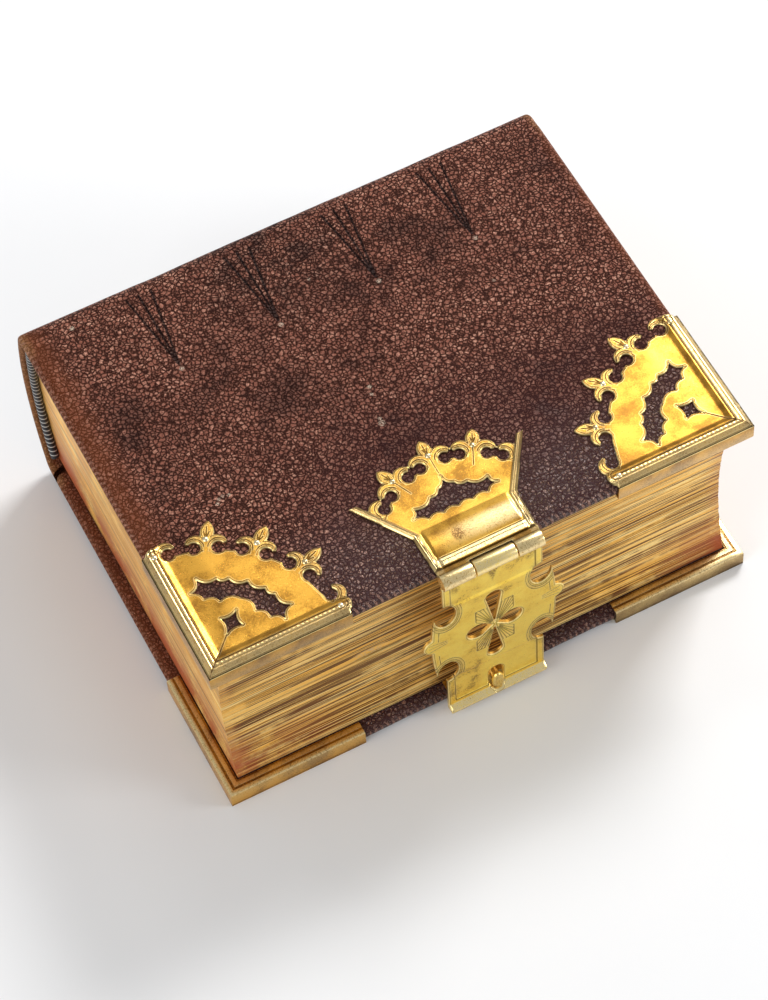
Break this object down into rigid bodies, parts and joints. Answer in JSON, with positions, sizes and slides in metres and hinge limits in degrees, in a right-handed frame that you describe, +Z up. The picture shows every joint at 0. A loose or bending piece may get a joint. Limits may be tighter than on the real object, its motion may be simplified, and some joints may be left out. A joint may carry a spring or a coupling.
{
  "type": "antique leather book",
  "caption": "Small thick leather-bound prayer book with gilt page edges, raised bands, pierced brass corners and a hinged brass clasp; both covers and the clasp swing.",
  "frame": {"origin": "bottom centre of the closed book's bounding box, on the surface that it lies on", "axes": "+X along the spine towards the head, +Y from the fore-edge towards the spine, +Z up out of the front cover"},
  "size_m": [0.1512, 0.1282, 0.0676],
  "materials": {
    "morocco_leather": "pebbled, semi-gloss, worn at the edges",
    "gilt_pages": null,
    "endpaper": null,
    "lining_cloth": "glued cloth and cord",
    "end_band_silk": "black and silver silk stitches",
    "millboard": "pressed board, hidden",
    "corner_brass": "stamped, engraved, aged",
    "clasp_brass": "stamped, engraved, aged",
    "pin_brass": "small round heads"
  },
  "bodies": {
    "block": {"text_block": "gilt_pages", "front_flyleaf": "endpaper", "back_flyleaf": "endpaper", "spine_lining": "lining_cloth", "sewing_band_1": "lining_cloth", "sewing_band_2": "lining_cloth", "sewing_band_3": "lining_cloth", "sewing_band_4": "lining_cloth", "spine_leather": "morocco_leather", "head_band": "end_band_silk", "tail_band": "end_band_silk"},
    "front_cover": {"front_board": "millboard", "front_leather": "morocco_leather", "front_pastedown": "endpaper", "front_left_corner": "corner_brass", "front_right_corner": "corner_brass", "front_corner_pins": "pin_brass", "clasp_crown": "clasp_brass", "clasp_crown_pins": "pin_brass", "clasp_hinge_pin": "pin_brass"},
    "back_cover": {"back_board": "millboard", "back_leather": "morocco_leather", "back_pastedown": "endpaper", "back_left_corner": "corner_brass", "back_right_corner": "corner_brass", "back_corner_pins": "pin_brass", "catch_plate": "clasp_brass", "catch_stud": "clasp_brass", "catch_pins": "pin_brass"},
    "clasp": {"clasp_arm": "clasp_brass"}
  },
  "joints": [
    {"name": "front_cover_hinge", "type": "hinge", "parent": "block", "child": "front_cover", "pos_m": [0, 0.0535, 0.066], "axis": [-1, 0, 0], "range_deg": [0, 170]},
    {"name": "back_cover_hinge", "type": "hinge", "parent": "block", "child": "back_cover", "pos_m": [0, 0.0535, 0], "axis": [1, 0, 0], "range_deg": [0, 170]},
    {"name": "clasp_hinge", "type": "hinge", "parent": "front_cover", "child": "clasp", "pos_m": [0, -0.0614, 0.0648], "axis": [-1, 0, 0], "range_deg": [0, 165]}
  ]
}
